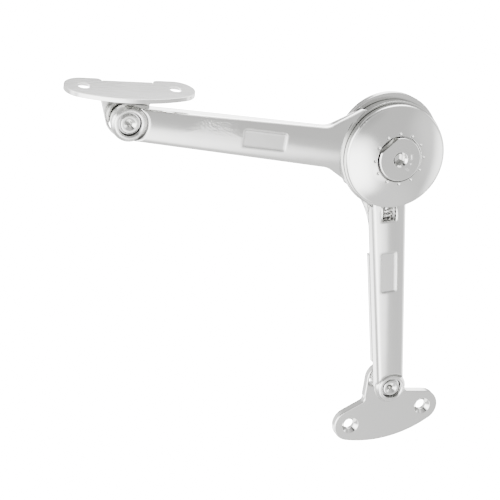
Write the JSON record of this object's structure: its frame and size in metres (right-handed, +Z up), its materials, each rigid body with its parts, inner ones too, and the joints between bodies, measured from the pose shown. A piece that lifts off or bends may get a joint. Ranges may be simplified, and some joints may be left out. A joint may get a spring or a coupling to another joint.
{
  "type": "folding lid stay",
  "caption": "Folding lid stay with two arms on a braked round hub with an adjusting dial, a flat screw plate and a bent screw bracket.",
  "frame": {"origin": "middle of the two screw holes of the cabinet plate, on its flat back", "axes": "+Y into the cabinet side, the hub axle and both rivets run along Y; +Z up, from the cabinet plate towards the hub; +X to the right as seen from the dial side"},
  "size_m": [0.1488, 0.0182, 0.1581],
  "materials": {
    "satin_nickel_zinc": "satin nickel plate over zinc die casting",
    "nickel_plated_steel": "satin nickel plate over pressed and turned steel",
    "hardened_steel": "ground and oiled steel",
    "spring_steel": "drawn spring wire, oiled",
    "black_acetal": "moulded black acetal",
    "zinc_plated_screw": "bright zinc plate"
  },
  "bodies": {
    "cabinet_mount": {"cabinet_plate": "nickel_plated_steel", "cabinet_rivet": "nickel_plated_steel", "cabinet_washer": "black_acetal"},
    "cabinet_link": {"cabinet_arm": "satin_nickel_zinc", "rear_housing": "satin_nickel_zinc", "housing_screws": "zinc_plated_screw", "cabinet_bush": "hardened_steel", "hub_axle": "hardened_steel", "spring_seat": "hardened_steel", "compression_spring": "spring_steel", "disc_spring_front": "spring_steel", "disc_spring_rear": "spring_steel", "pressure_washer": "hardened_steel", "friction_ring_front": "black_acetal", "friction_ring_rear": "black_acetal"},
    "lid_link": {"lid_arm": "satin_nickel_zinc", "cam_disc": "hardened_steel", "cam_pins": "hardened_steel", "lid_bush": "hardened_steel"},
    "lid_mount": {"lid_plate": "nickel_plated_steel", "lid_rivet": "nickel_plated_steel", "lid_washer": "black_acetal"},
    "dial": {"adjuster_dial": "nickel_plated_steel"},
    "plunger": {"spring_plunger": "hardened_steel", "roller_pin": "hardened_steel"},
    "roller": {"follower_roller": "hardened_steel"}
  },
  "joints": [
    {"name": "cabinet_pivot", "type": "hinge", "parent": "cabinet_mount", "child": "cabinet_link", "pos_m": [-0.00219, -0.0145, 0.01686], "axis": [0, 1, 0], "range_deg": [-26, 130]},
    {"name": "hub_hinge", "type": "hinge", "parent": "cabinet_link", "child": "lid_link", "pos_m": [-0.00556, -0.0145, 0.1133], "axis": [0, 1, 0], "range_deg": [-30, 60]},
    {"name": "lid_pivot", "type": "hinge", "parent": "lid_link", "child": "lid_mount", "pos_m": [-0.10434, -0.0145, 0.13232], "axis": [0, 1, 0], "range_deg": [-140, 7]},
    {"name": "dial_turn", "type": "hinge", "parent": "cabinet_link", "child": "dial", "pos_m": [-0.00556, -0.0145, 0.1133], "axis": [0, 1, 0], "range_deg": [-150, 150]},
    {"name": "plunger_slide", "type": "slide", "parent": "cabinet_link", "child": "plunger", "axis": [0.0349, 0, -0.9994], "range_m": [-0.0009, 0.0005], "deforming": ["compression_spring"]},
    {"name": "roller_spin", "type": "hinge", "parent": "plunger", "child": "roller", "pos_m": [-0.00638, -0.008, 0.10251], "axis": [0, 1, 0], "range_deg": [-225, 115]}
  ],
  "couplings": [
    {"joint": "plunger_slide", "follows": "hub_hinge", "m_per_rad": -0.000782},
    {"joint": "roller_spin", "follows": "hub_hinge", "ratio": -3.65}
  ]
}
